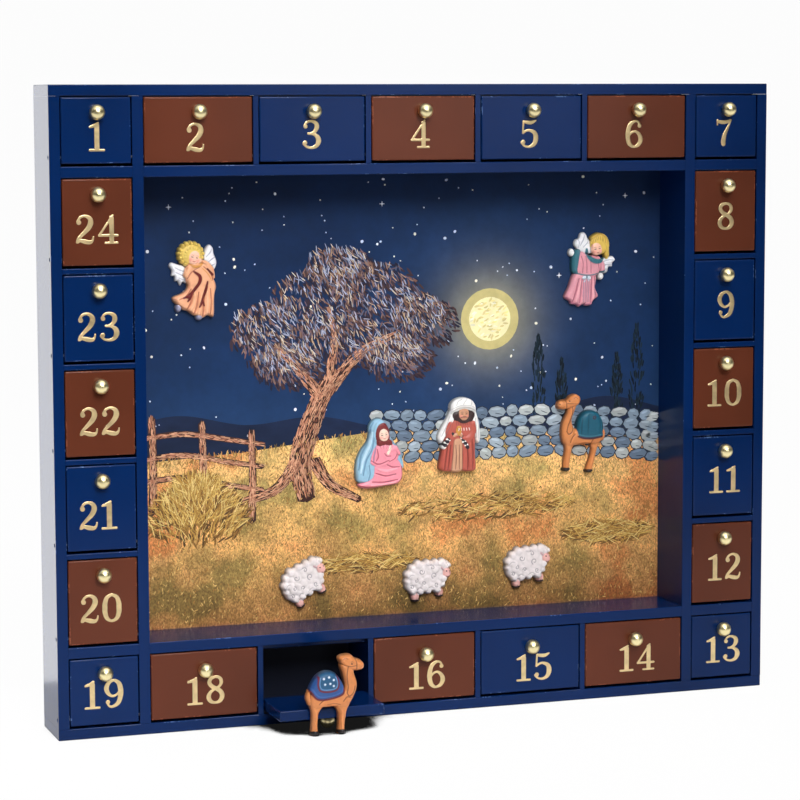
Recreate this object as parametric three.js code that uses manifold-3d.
// A wooden advent calendar: a shallow shadow box with twenty-four numbered flap doors
// round a deep recess, a picture sheet at the back of the recess, and flat-backed figures.
// Millimetres, +Z up, the front faces -Y. The origin is the middle of the underside.
import * as THREE from "three";
import { mergeVertices } from "three/addons/utils/BufferGeometryUtils.js";
import Module from "manifold-3d";

const wasm = await Module();
wasm.setup();

// Case
const overallWidth = 445;
const boardThickness = 6.35;
const dividerThickness = 3.2;
const sideOpeningWidth = 41.4;
const topOpeningHeight = 39.5;
const bottomOpeningHeight = 40.85;
const recessHeight = 268.25;
const recessDepth = 36.9;
const pictureThickness = 1.1;
const backPanelThickness = 3.2;
const glueLine = 0.1;
const weldTolerance = 1e-4;
const wideDoorsPerRow = 5;
const doorsPerColumn = 5;

// Doors
const doorThickness = 6.2;
const doorSideGap = 0.6;
const doorTopGap = 0.7;
const doorBottomGap = 1.5;
const doorEdgeRound = 0.45;
const stopStripDrop = 3.2;
const stopStripDepth = 3.2;
const stopStripGap = 0.3;

// Hinge pins and knobs. The reach of a pin into a divider, and the depth of its hole, are
// shares of the divider's thickness.
const pinHeight = 5.15;
const pinDiameter = 1.6;
const pinClearance = 0.35;
const pinReachShare = 0.36;
const pinHoleShare = 0.45;
const pinHeadRecess = 0.9;
const pinInDoor = 6;
const pinSides = 8;
const knobBallDiameter = 8.8;
const knobCollarDiameter = 5.6;
const knobCollarThickness = 0.9;
const knobNeckDiameter = 3.4;
const knobInDoor = 2;
const knobFloorClearance = 0.4;
const knobBelowTopOfTopRow = 8.5;
const knobBelowTopOfColumns = 8.8;
const knobBelowTopOfBottomRow = 10.7;
const knobBelowTopOfBottomCorners = 8.4;
const knobSides = 10;
const knobRings = 6;
const openDoorNumber = 17;
const openDoorAngle = Math.PI / 2;

// Figures
const figureSeatGap = 0.3;
const lyingFigureThickness = 6;
const standingCamelThickness = 7;
const standingCamelClearance = 1.5;
const angelHeight = 46.7;
const angelWidth = 29;
const secondAngelHeight = 45.9;
const secondAngelWidth = 34.2;
const kneelingWomanHeight = 42.9;
const kneelingWomanWidth = 30.9;
const standingManHeight = 46.3;
const standingManWidth = 28.2;
const camelHeight = 49.6;
const camelWidth = 32.7;
const standingCamelHeight = 46.9;
const standingCamelWidth = 34.8;
const sheepHeight = 25.7;
const sheepWidth = 31.3;

// Sizes that follow
const overallHeight = 4 * boardThickness + bottomOpeningHeight + recessHeight + topOpeningHeight;
const boardDepth = recessDepth + pictureThickness;
const overallDepth = boardDepth + glueLine + backPanelThickness;
const frontY = -overallDepth / 2;
const leftX = -overallWidth / 2;
const insideX = leftX + boardThickness;
const stileX = insideX + sideOpeningWidth;
const recessX = stileX + boardThickness;
const recessWidth = -2 * recessX;
const wideOpeningWidth =
  (recessWidth - (wideDoorsPerRow - 1) * dividerThickness) / wideDoorsPerRow;
const sideOpeningHeight =
  (recessHeight - (doorsPerColumn - 1) * dividerThickness) / doorsPerColumn;
const lowerShelfZ = boardThickness + bottomOpeningHeight;
const recessZ = lowerShelfZ + boardThickness;
const upperShelfZ = recessZ + recessHeight;
const topRowZ = upperShelfZ + boardThickness;
const topBoardZ = topRowZ + topOpeningHeight;
const pinY = frontY + doorThickness / 2;
const pinHoleDiameter = pinDiameter + 2 * pinClearance;
const pinReach = dividerThickness * pinReachShare;
const pinHoleDepth = dividerThickness * pinHoleShare;
const knobProjection = boardThickness + pinHeight - doorThickness / 2 - knobFloorClearance;

const navyPaint = new THREE.MeshStandardMaterial({ color: 0x17305f, roughness: 0.4, metalness: 0 });
const brownPaint = new THREE.MeshStandardMaterial({ color: 0x6b3a30, roughness: 0.45, metalness: 0 });
const pictureFinish = new THREE.MeshStandardMaterial({ color: 0x14233f, roughness: 0.6, metalness: 0 });
const panelFinish = new THREE.MeshStandardMaterial({ color: 0x1a2438, roughness: 0.7, metalness: 0 });
const resinFinish = new THREE.MeshStandardMaterial({ color: 0xd9a57c, roughness: 0.5, metalness: 0 });

// A closed geometry as a manifold solid.
function solid(geometry) {
  const bare = new THREE.BufferGeometry();
  bare.setAttribute("position", geometry.getAttribute("position").clone());
  if (geometry.index) bare.setIndex(geometry.index.clone());
  const merged = mergeVertices(bare, weldTolerance);
  return new wasm.Manifold(
    new wasm.Mesh({
      numProp: 3,
      vertProperties: new Float32Array(merged.getAttribute("position").array),
      triVerts: new Uint32Array(merged.index.array),
    }),
  );
}

function geometryOf(body) {
  const mesh = body.getMesh();
  const geometry = new THREE.BufferGeometry();
  const points = new Float32Array(mesh.numVert * 3);
  for (let i = 0; i < mesh.numVert; i += 1)
    for (let k = 0; k < 3; k += 1) points[3 * i + k] = mesh.vertProperties[mesh.numProp * i + k];
  geometry.setAttribute("position", new THREE.BufferAttribute(points, 3));
  geometry.setIndex(new THREE.BufferAttribute(mesh.triVerts, 1));
  return geometry;
}

// A box from its lowest and highest corners.
function boxBetween(low, high) {
  const size = high.map((value, axis) => value - low[axis]);
  const middle = high.map((value, axis) => (value + low[axis]) / 2);
  return new THREE.BoxGeometry(...size).translate(...middle);
}

// A round bar along X from x0 to x1.
function barAlongX(diameter, x0, x1, y, z) {
  const bar = new THREE.CylinderGeometry(diameter / 2, diameter / 2, x1 - x0, pinSides);
  return bar.rotateZ(Math.PI / 2).translate((x0 + x1) / 2, y, z);
}

function joined(bodies) {
  return bodies.reduce((whole, body) => whole.add(body));
}

function cut(body, tools) {
  return tools.reduce((rest, tool) => rest.subtract(tool), body);
}

// Openings, each with its door's number, in the order of the days round the border.
const openings = [];

function addOpening(number, x0, z0, width, height) {
  openings.push({ number, x0, z0, width, height });
}

const wideStep = wideOpeningWidth + dividerThickness;
const columnStep = sideOpeningHeight + dividerThickness;
const rightOpeningX = -stileX;
addOpening(1, insideX, topRowZ, sideOpeningWidth, topOpeningHeight);
for (let i = 0; i < wideDoorsPerRow; i += 1)
  addOpening(2 + i, recessX + i * wideStep, topRowZ, wideOpeningWidth, topOpeningHeight);
addOpening(7, rightOpeningX, topRowZ, sideOpeningWidth, topOpeningHeight);
for (let i = 0; i < doorsPerColumn; i += 1) {
  const z = upperShelfZ - sideOpeningHeight - i * columnStep;
  addOpening(8 + i, rightOpeningX, z, sideOpeningWidth, sideOpeningHeight);
  addOpening(24 - i, insideX, z, sideOpeningWidth, sideOpeningHeight);
}
addOpening(13, rightOpeningX, boardThickness, sideOpeningWidth, bottomOpeningHeight);
for (let i = 0; i < wideDoorsPerRow; i += 1)
  addOpening(18 - i, recessX + i * wideStep, boardThickness, wideOpeningWidth, bottomOpeningHeight);
addOpening(19, insideX, boardThickness, sideOpeningWidth, bottomOpeningHeight);
openings.sort((a, b) => a.number - b.number);

// Which openings have an outer side board beside them.
function besideLeftBoard(opening) {
  return opening.x0 < insideX + glueLine;
}

function besideRightBoard(opening) {
  return opening.x0 + opening.width > -insideX - glueLine;
}

// The strip that a closed door rests against, under whatever roofs the opening.
function stopStrip(opening) {
  const y0 = frontY + doorThickness + stopStripGap;
  const roof = opening.z0 + opening.height + glueLine;
  return solid(
    boxBetween(
      [opening.x0 + glueLine, y0, opening.z0 + opening.height - stopStripDrop],
      [opening.x0 + opening.width - glueLine, y0 + stopStripDepth, roof + glueLine],
    ),
  );
}

// The hole for one end of a door's hinge pin, from x0 to x1.
function pinHole(opening, x0, x1) {
  return solid(barAlongX(pinHoleDiameter, x0, x1, pinY, opening.z0 + pinHeight));
}

function holesLeftOf(opening) {
  const through = besideLeftBoard(opening);
  const depth = through ? boardThickness + glueLine : pinHoleDepth;
  return pinHole(opening, opening.x0 - depth, opening.x0 + glueLine);
}

function holesRightOf(opening) {
  const edge = opening.x0 + opening.width;
  const through = besideRightBoard(opening);
  const depth = through ? boardThickness + glueLine : pinHoleDepth;
  return pinHole(opening, edge - glueLine, edge + depth);
}

// Every pin hole that a board between x0 and x1, z0 and z1 has in it.
function holesIn(low, high) {
  const tools = [];
  for (const opening of openings) {
    const z = opening.z0 + pinHeight;
    if (z < low[2] || z > high[2]) continue;
    const edge = opening.x0 + opening.width;
    if (Math.abs(opening.x0 - high[0]) < 2 * glueLine) tools.push(holesLeftOf(opening));
    if (Math.abs(edge - low[0]) < 2 * glueLine) tools.push(holesRightOf(opening));
  }
  return tools;
}

// The stop strips of the openings that lie right under a board.
function stripsUnder(low, high) {
  return openings
    .filter((opening) => {
      const under = Math.abs(opening.z0 + opening.height - low[2]) < 2 * glueLine;
      return under && opening.x0 > low[0] - 2 * glueLine && opening.x0 < high[0];
    })
    .map(stopStrip);
}

const calendar = new THREE.Group();

function addMesh(name, geometry, material) {
  const mesh = new THREE.Mesh(geometry, material);
  mesh.name = name;
  calendar.add(mesh);
  return mesh;
}

function addBoard(name, low, high, material = navyPaint, notches = []) {
  const whole = joined([solid(boxBetween(low, high)), ...stripsUnder(low, high)]);
  addMesh(name, geometryOf(cut(whole, [...holesIn(low, high), ...notches])), material);
}

// Case boards: the top and bottom run the full width, the sides stand between them.
const backY = frontY + overallDepth;
const boardBackY = frontY + boardDepth;
const sideLowZ = boardThickness + glueLine;
const sideHighZ = topBoardZ - glueLine;
addBoard("bottom_board", [leftX, frontY, 0], [-leftX, backY, boardThickness]);
addBoard("top_board", [leftX, frontY, topBoardZ], [-leftX, backY, overallHeight]);
addBoard("side_board_left", [leftX, frontY, sideLowZ], [insideX, backY, sideHighZ]);
addBoard("side_board_right", [-insideX, frontY, sideLowZ], [-leftX, backY, sideHighZ]);

// Stiles and shelves cross in half laps: the stiles keep the front half, the shelves the back.
const lapY = frontY + boardDepth / 2;
const shelfLevels = [lowerShelfZ, upperShelfZ];
const stilePlaces = [stileX, -recessX];

function lapNotch(x, z, y0, y1) {
  return solid(
    boxBetween(
      [x - glueLine, y0, z - glueLine],
      [x + boardThickness + glueLine, y1, z + boardThickness + glueLine],
    ),
  );
}

stilePlaces.forEach((x, i) => {
  const notches = shelfLevels.map((z) => lapNotch(x, z, lapY, boardBackY + glueLine));
  const low = [x, frontY, sideLowZ];
  const high = [x + boardThickness, boardBackY, sideHighZ];
  addBoard(["stile_left", "stile_right"][i], low, high, navyPaint, notches);
});
shelfLevels.forEach((z, i) => {
  const notches = stilePlaces.map((x) => lapNotch(x, z, frontY - glueLine, lapY + glueLine));
  const low = [insideX + glueLine, frontY, z];
  const high = [-insideX - glueLine, boardBackY, z + boardThickness];
  addBoard(["lower_shelf", "upper_shelf"][i], low, high, navyPaint, notches);
});

// Dividers between the doors of each row and column.
for (let i = 0; i < wideDoorsPerRow - 1; i += 1) {
  const x0 = recessX + wideOpeningWidth + i * wideStep;
  const x1 = x0 + dividerThickness;
  const topName = "divider_" + (2 + i) + "_" + (3 + i);
  const bottomName = "divider_" + (18 - i) + "_" + (17 - i);
  addBoard(topName, [x0, frontY, topRowZ + glueLine], [x1, boardBackY, sideHighZ]);
  addBoard(bottomName, [x0, frontY, sideLowZ], [x1, boardBackY, lowerShelfZ - glueLine]);
}
for (let i = 0; i < doorsPerColumn - 1; i += 1) {
  const z1 = upperShelfZ - sideOpeningHeight - i * columnStep;
  const z0 = z1 - dividerThickness;
  const leftName = "divider_" + (24 - i) + "_" + (23 - i);
  const rightName = "divider_" + (8 + i) + "_" + (9 + i);
  addBoard(leftName, [insideX + glueLine, frontY, z0], [stileX - glueLine, boardBackY, z1]);
  addBoard(rightName, [rightOpeningX + glueLine, frontY, z0], [-insideX - glueLine, boardBackY, z1]);
}

// Back panel and the steel-backed picture sheet.
const panelLow = [insideX + glueLine, boardBackY + glueLine, sideLowZ];
addMesh("back_panel", boxBetween(panelLow, [-panelLow[0], backY, sideHighZ]), panelFinish);
const pictureY = frontY + recessDepth;
const pictureLow = [recessX + glueLine, pictureY, recessZ + glueLine];
const pictureHigh = [-pictureLow[0], boardBackY, upperShelfZ - glueLine];
addMesh("picture_sheet", boxBetween(pictureLow, pictureHigh), pictureFinish);

// A turned knob: a collar, a neck and a ball, its foot at the origin and its tip towards -Y.
function knob() {
  const ballRadius = knobBallDiameter / 2;
  const ballMiddle = knobProjection - ballRadius;
  const neckRadius = knobNeckDiameter / 2;
  const neckLength = knobInDoor + ballMiddle;
  const collar = new THREE.CylinderGeometry(
    neckRadius,
    knobCollarDiameter / 2,
    knobCollarThickness,
    knobSides,
  );
  const neck = new THREE.CylinderGeometry(neckRadius, neckRadius, neckLength, knobSides);
  const ball = new THREE.SphereGeometry(ballRadius, knobSides, knobRings);
  const pieces = [
    collar.translate(0, knobCollarThickness / 2, 0),
    neck.translate(0, ballMiddle - neckLength / 2, 0),
    ball.translate(0, ballMiddle, 0),
  ];
  return joined(pieces.map((piece) => solid(piece.rotateX(Math.PI))));
}

function knobBelowTop(opening) {
  if (opening.z0 > upperShelfZ) return knobBelowTopOfTopRow;
  if (opening.z0 > lowerShelfZ) return knobBelowTopOfColumns;
  const inCorner = besideLeftBoard(opening) || besideRightBoard(opening);
  return inCorner ? knobBelowTopOfBottomCorners : knobBelowTopOfBottomRow;
}

// A door with its knob and its two hinge pins, about its hinge line, closed.
function door(opening) {
  const width = opening.width - 2 * doorSideGap;
  const height = opening.height - doorTopGap - doorBottomGap;
  const belowPin = pinHeight - doorBottomGap;
  const corner = doorEdgeRound;
  const face = new THREE.Shape();
  face.moveTo(-width / 2 + corner, corner);
  face.lineTo(width / 2 - corner, corner);
  face.lineTo(width / 2 - corner, height - corner);
  face.lineTo(-width / 2 + corner, height - corner);
  const panel = new THREE.ExtrudeGeometry(face, {
    depth: doorThickness - 2 * corner,
    bevelThickness: corner,
    bevelSize: corner,
    bevelSegments: 1,
  });
  panel.rotateX(Math.PI / 2).translate(0, doorThickness / 2 - corner, -belowPin);
  const knobHeight = height - knobBelowTop(opening) - belowPin;
  const leftReach = besideLeftBoard(opening) ? boardThickness - pinHeadRecess : pinReach;
  const rightReach = besideRightBoard(opening) ? boardThickness - pinHeadRecess : pinReach;
  const edge = width / 2;
  return joined([
    solid(panel),
    knob().translate([0, -doorThickness / 2, knobHeight]),
    solid(barAlongX(pinDiameter, -edge - doorSideGap - leftReach, -edge + pinInDoor, 0, 0)),
    solid(barAlongX(pinDiameter, edge - pinInDoor, edge + doorSideGap + rightReach, 0, 0)),
  ]);
}

for (const opening of openings) {
  const material = opening.number % 2 ? navyPaint : brownPaint;
  const name = "door_" + String(opening.number).padStart(2, "0");
  const mesh = addMesh(name, geometryOf(door(opening)), material);
  mesh.position.set(opening.x0 + opening.width / 2, pinY, opening.z0 + pinHeight);
  if (opening.number === openDoorNumber) mesh.rotation.x = openDoorAngle;
}

// Figures. Each is a few flat-backed rounded lumps. A lump is an outline in shares of the
// figure's width and height, and its thickness as a share of the figure's thickness.
const crownShare = 0.68;
const rimShare = 0.62;
const ellipsePoints = 10;
const pointsPerSpan = 1.25;

function lump(outline, thickness) {
  const area = outline.reduce((total, point, i) => {
    const next = outline[(i + 1) % outline.length];
    return total + point.x * next.y - next.x * point.y;
  }, 0);
  const ring = area > 0 ? outline : [...outline].reverse();
  const count = ring.length;
  const sum = ring.reduce((total, point) => total.add(point), new THREE.Vector2());
  const middle = sum.divideScalar(count);
  const points = [];
  const levels = [
    [1, 0],
    [1, rimShare],
    [crownShare, 1],
  ];
  for (const [scale, depth] of levels)
    for (const point of ring) {
      const x = middle.x + (point.x - middle.x) * scale;
      const z = middle.y + (point.y - middle.y) * scale;
      points.push(x, -depth * thickness, z);
    }
  const backMiddle = levels.length * count;
  points.push(middle.x, 0, middle.y, middle.x, -thickness, middle.y);
  const faces = [];
  for (let i = 0; i < count; i += 1) {
    const j = (i + 1) % count;
    faces.push(backMiddle, j, i);
    for (let level = 0; level < levels.length - 1; level += 1) {
      const low = level * count;
      const high = low + count;
      faces.push(low + i, low + j, high + j, low + i, high + j, high + i);
    }
    faces.push(backMiddle - count + i, backMiddle - count + j, backMiddle + 1);
  }
  const geometry = new THREE.BufferGeometry();
  geometry.setAttribute("position", new THREE.Float32BufferAttribute(points, 3));
  geometry.setIndex(faces);
  return solid(geometry);
}

// An outline through points given in shares, never below the foot, or an ellipse given by
// its middle and half axes.
function outlineOf(shape, width, height) {
  if (shape.ellipse) {
    const [u, v, ru, rv] = shape.ellipse;
    return Array.from({ length: ellipsePoints }, (_, i) => {
      const angle = (2 * Math.PI * i) / ellipsePoints;
      return new THREE.Vector2(
        (u + ru * Math.cos(angle) - 0.5) * width,
        (v + rv * Math.sin(angle)) * height,
      );
    });
  }
  const points = shape.through.map(
    ([u, v]) => new THREE.Vector3((u - 0.5) * width, v * height, 0),
  );
  const curve = new THREE.CatmullRomCurve3(points, true, "centripetal");
  const count = Math.round(points.length * pointsPerSpan);
  const ring = curve.getPoints(count).slice(0, count);
  return ring.map((point) => new THREE.Vector2(point.x, Math.max(point.y, 0)));
}

function figure(shapes, width, height, thickness, turn = 0) {
  const body = joined(
    shapes.map((shape) => lump(outlineOf(shape, width, height), thickness * shape.share)),
  );
  return geometryOf(body).rotateY(-turn);
}

const wingShare = 0.5;
const clothShare = 0.8;
const bodyShare = 0.9;
const headShare = 1;
const limbShare = 0.7;

const ribbonAngelShares = [
  {
    share: wingShare,
    through: [
      [0.7, 0.72], [0.75, 0.86], [0.81, 0.92], [0.87, 0.94], [0.94, 0.9], [0.95, 0.84],
      [1, 0.76], [1, 0.69], [0.93, 0.62], [0.84, 0.58], [0.74, 0.6],
    ],
  },
  {
    share: wingShare,
    through: [
      [0.01, 0.69], [0.06, 0.74], [0.2, 0.71], [0.34, 0.68], [0.42, 0.56], [0.36, 0.48],
      [0.22, 0.45], [0.15, 0.52], [0.08, 0.57], [0.09, 0.63],
    ],
  },
  {
    share: bodyShare,
    through: [
      [0.39, 0.73], [0.32, 0.64], [0.32, 0.55], [0.4, 0.44], [0.6, 0.41], [0.82, 0.44],
      [0.92, 0.54], [0.88, 0.63], [0.8, 0.72], [0.6, 0.74],
    ],
  },
  {
    share: clothShare,
    through: [
      [0.4, 0.52], [0.37, 0.41], [0.27, 0.35], [0.1, 0.3], [0.13, 0.22], [0.28, 0.14],
      [0.49, 0.08], [0.7, 0.03], [0.93, 0.08], [0.95, 0.3], [0.99, 0.44], [0.88, 0.56],
      [0.62, 0.58],
    ],
  },
  { share: limbShare, ellipse: [0.19, 0.16, 0.07, 0.06] },
  { share: limbShare, ellipse: [0.62, 0.05, 0.08, 0.05] },
  { share: headShare, ellipse: [0.46, 0.835, 0.285, 0.165] },
];

const collarAngelShares = [
  {
    share: wingShare,
    through: [
      [0.53, 0.72], [0.34, 0.71], [0.2, 0.81], [0.2, 0.88], [0.28, 0.93], [0.31, 0.98],
      [0.38, 1], [0.44, 0.95], [0.52, 0.85],
    ],
  },
  {
    share: wingShare,
    through: [
      [0.66, 0.6], [0.74, 0.65], [0.87, 0.67], [0.95, 0.66], [1, 0.62], [0.94, 0.56],
      [0.86, 0.48], [0.76, 0.44], [0.68, 0.48],
    ],
  },
  {
    share: limbShare,
    through: [
      [0.27, 0.76], [0.18, 0.75], [0.13, 0.65], [0.13, 0.5], [0.2, 0.45], [0.28, 0.5],
      [0.32, 0.62],
    ],
  },
  { share: wingShare, ellipse: [0.14, 0.73, 0.06, 0.06] },
  { share: wingShare, ellipse: [0.69, 0.41, 0.08, 0.07] },
  {
    share: bodyShare,
    through: [
      [0.3, 0.74], [0.23, 0.6], [0.24, 0.45], [0.45, 0.38], [0.65, 0.41], [0.74, 0.5],
      [0.75, 0.6], [0.62, 0.66], [0.45, 0.7],
    ],
  },
  {
    share: clothShare,
    through: [
      [0.22, 0.46], [0.1, 0.38], [0.07, 0.26], [0, 0.15], [0.13, 0.05], [0.26, 0],
      [0.4, 0.03], [0.52, 0.01], [0.66, 0.15], [0.59, 0.26], [0.62, 0.4], [0.5, 0.48],
    ],
  },
  { share: headShare, ellipse: [0.67, 0.84, 0.2, 0.155] },
];

const kneelingWomanShares = [
  {
    share: clothShare,
    through: [
      [0.3, 0.84], [0.22, 0.66], [0.07, 0.52], [0, 0.36], [0, 0.2], [0.05, 0.1],
      [0.26, 0.08], [0.4, 0.2], [0.44, 0.45], [0.46, 0.7],
    ],
  },
  {
    share: limbShare,
    through: [
      [0.58, 0.86], [0.74, 0.7], [0.88, 0.55], [0.97, 0.4], [1, 0.3], [0.88, 0.3],
      [0.7, 0.46], [0.52, 0.68],
    ],
  },
  {
    share: bodyShare,
    through: [
      [0.36, 0.58], [0.27, 0.42], [0.36, 0.3], [0.62, 0.3], [0.84, 0.42], [0.87, 0.53],
      [0.74, 0.62], [0.55, 0.64],
    ],
  },
  {
    share: bodyShare,
    through: [
      [0.34, 0.34], [0.28, 0.17], [0.04, 0.08], [0.1, 0.02], [0.3, 0], [0.56, 0.02],
      [0.86, 0.06], [0.96, 0.18], [0.93, 0.34], [0.78, 0.46], [0.5, 0.44],
    ],
  },
  { share: headShare, ellipse: [0.46, 0.8, 0.22, 0.2] },
];

const standingManShares = [
  {
    share: clothShare,
    through: [
      [0.34, 0.88], [0.2, 0.72], [0.06, 0.58], [0.01, 0.47], [0.14, 0.44], [0.28, 0.56],
      [0.42, 0.74],
    ],
  },
  {
    share: clothShare,
    through: [
      [0.82, 0.88], [0.94, 0.74], [0.99, 0.58], [1, 0.44], [0.92, 0.39], [0.85, 0.45],
      [0.82, 0.6], [0.72, 0.76],
    ],
  },
  {
    share: bodyShare,
    through: [
      [0.38, 0.74], [0.2, 0.6], [0.12, 0.44], [0.06, 0.26], [0.02, 0.08], [0.14, 0.03],
      [0.42, 0], [0.7, 0.01], [0.89, 0.04], [0.88, 0.24], [0.88, 0.44], [0.85, 0.62],
      [0.74, 0.75], [0.56, 0.77],
    ],
  },
  { share: headShare, ellipse: [0.58, 0.85, 0.31, 0.15] },
];

const camelShares = [
  {
    share: limbShare,
    through: [
      [0.14, 0.44], [0.16, 0.3], [0.13, 0.16], [0.14, 0.05], [0.27, 0.05], [0.3, 0.14],
      [0.34, 0.3], [0.4, 0.44],
    ],
  },
  {
    share: limbShare,
    through: [
      [0.64, 0.44], [0.69, 0.3], [0.64, 0.16], [0.59, 0.01], [0.75, 0], [0.79, 0.12],
      [0.85, 0.3], [0.92, 0.44],
    ],
  },
  { share: wingShare, ellipse: [0.96, 0.48, 0.05, 0.1] },
  {
    share: bodyShare,
    through: [
      [0.11, 0.44], [0.25, 0.54], [0.45, 0.57], [0.75, 0.57], [0.93, 0.52], [0.95, 0.43],
      [0.86, 0.37], [0.6, 0.36], [0.35, 0.35], [0.18, 0.36],
    ],
  },
  {
    share: bodyShare,
    through: [
      [0.22, 0.84], [0.18, 0.76], [0.08, 0.65], [0.07, 0.54], [0.1, 0.43], [0.24, 0.38],
      [0.38, 0.48], [0.38, 0.6], [0.36, 0.7], [0.42, 0.86],
    ],
  },
  {
    share: headShare,
    through: [
      [0.03, 0.82], [0, 0.87], [0.05, 0.92], [0.2, 0.94], [0.26, 0.98], [0.36, 1],
      [0.45, 0.98], [0.48, 0.93], [0.43, 0.86], [0.3, 0.83], [0.16, 0.81],
    ],
  },
  {
    share: headShare,
    through: [
      [0.4, 0.64], [0.48, 0.73], [0.6, 0.78], [0.72, 0.78], [0.85, 0.74], [0.94, 0.64],
      [0.93, 0.52], [0.88, 0.42], [0.65, 0.44], [0.43, 0.45],
    ],
  },
];

const standingCamelShares = [
  {
    share: limbShare,
    through: [
      [0.06, 0.46], [0.09, 0.28], [0.09, 0.12], [0.08, 0], [0.21, 0], [0.23, 0.1],
      [0.25, 0.26], [0.36, 0.44],
    ],
  },
  {
    share: limbShare,
    through: [
      [0.46, 0.44], [0.52, 0.28], [0.53, 0.12], [0.54, 0], [0.67, 0], [0.68, 0.1],
      [0.71, 0.28], [0.78, 0.44],
    ],
  },
  { share: wingShare, ellipse: [0.06, 0.47, 0.05, 0.09] },
  {
    share: bodyShare,
    through: [
      [0.05, 0.46], [0.12, 0.6], [0.35, 0.64], [0.6, 0.6], [0.78, 0.52], [0.78, 0.42],
      [0.66, 0.33], [0.48, 0.36], [0.3, 0.37], [0.12, 0.35],
    ],
  },
  {
    share: bodyShare,
    through: [
      [0.59, 0.88], [0.62, 0.74], [0.65, 0.62], [0.6, 0.48], [0.68, 0.36], [0.79, 0.42],
      [0.86, 0.53], [0.88, 0.63], [0.83, 0.76], [0.82, 0.86],
    ],
  },
  {
    share: headShare,
    through: [
      [0.55, 0.95], [0.62, 0.99], [0.76, 0.99], [0.85, 0.94], [0.95, 0.91], [1, 0.86],
      [0.97, 0.8], [0.85, 0.78], [0.7, 0.82], [0.6, 0.87],
    ],
  },
  {
    share: headShare,
    through: [
      [0.05, 0.59], [0.14, 0.71], [0.22, 0.77], [0.33, 0.8], [0.45, 0.78], [0.54, 0.72],
      [0.64, 0.6], [0.57, 0.47], [0.36, 0.44], [0.18, 0.45],
    ],
  },
];

const sheepShares = [
  { share: limbShare, ellipse: [0.24, 0.12, 0.1, 0.12] },
  { share: limbShare, ellipse: [0.74, 0.18, 0.08, 0.12] },
  {
    share: headShare,
    through: [
      [0.01, 0.52], [0.06, 0.71], [0.16, 0.86], [0.32, 0.96], [0.52, 0.97], [0.7, 0.97],
      [0.86, 0.93], [0.9, 0.72], [0.88, 0.5], [0.84, 0.32], [0.7, 0.22], [0.5, 0.2],
      [0.32, 0.19], [0.14, 0.23], [0.04, 0.36],
    ],
  },
  { share: headShare, ellipse: [0.88, 0.72, 0.12, 0.17] },
];

// A figure on the picture: the middle of its foot is at x, z, and it can be turned in the
// plane of the sheet about its own middle.
function addPictureFigure(name, shapes, width, height, x, z, turn = 0) {
  const geometry = figure(shapes, width, height, lyingFigureThickness).translate(0, 0, -height / 2);
  const mesh = addMesh(name, geometry.rotateY(-turn), resinFinish);
  mesh.position.set(x, pictureY - figureSeatGap, z + height / 2);
}

// Where the figures are, as shares of the recess: across from its middle, and up from its floor.
const figurePlaces = [
  {
    name: "angel_with_ribbon",
    shapes: ribbonAngelShares,
    size: [angelWidth, angelHeight],
    placeShare: [-0.39, 0.682],
  },
  {
    name: "angel_with_collar",
    shapes: collarAngelShares,
    size: [secondAngelWidth, secondAngelHeight],
    placeShare: [0.358, 0.687],
  },
  {
    name: "kneeling_woman",
    shapes: kneelingWomanShares,
    size: [kneelingWomanWidth, kneelingWomanHeight],
    placeShare: [-0.049, 0.291],
  },
  {
    name: "standing_man",
    shapes: standingManShares,
    size: [standingManWidth, standingManHeight],
    placeShare: [0.102, 0.317],
  },
  {
    name: "camel_on_picture",
    shapes: camelShares,
    size: [camelWidth, camelHeight],
    placeShare: [0.341, 0.302],
  },
  {
    name: "sheep_1",
    shapes: sheepShares,
    size: [sheepWidth, sheepHeight],
    placeShare: [-0.19, 0.039],
    turn: THREE.MathUtils.degToRad(25),
  },
  {
    name: "sheep_2",
    shapes: sheepShares,
    size: [sheepWidth, sheepHeight],
    placeShare: [0.041, 0.028],
    turn: THREE.MathUtils.degToRad(2),
  },
  {
    name: "sheep_3",
    shapes: sheepShares,
    size: [sheepWidth, sheepHeight],
    placeShare: [0.236, 0.046],
    turn: THREE.MathUtils.degToRad(5),
  },
];
for (const { name, shapes, size, placeShare, turn } of figurePlaces) {
  const x = recessWidth * placeShare[0];
  const z = recessZ + recessHeight * placeShare[1];
  addPictureFigure(name, shapes, size[0], size[1], x, z, turn);
}

// The camel that stands in front of the open door, clear of the door's swing.
const openDoor = openings[openDoorNumber - 1];
const doorSwing = Math.hypot(openDoor.height - doorTopGap - pinHeight, doorThickness / 2);
const standingCamel = addMesh(
  "standing_camel",
  figure(standingCamelShares, standingCamelWidth, standingCamelHeight, standingCamelThickness),
  resinFinish,
);
standingCamel.position.set(
  openDoor.x0 + openDoor.width / 2,
  pinY - doorSwing - standingCamelClearance,
  0,
);

export default calendar;
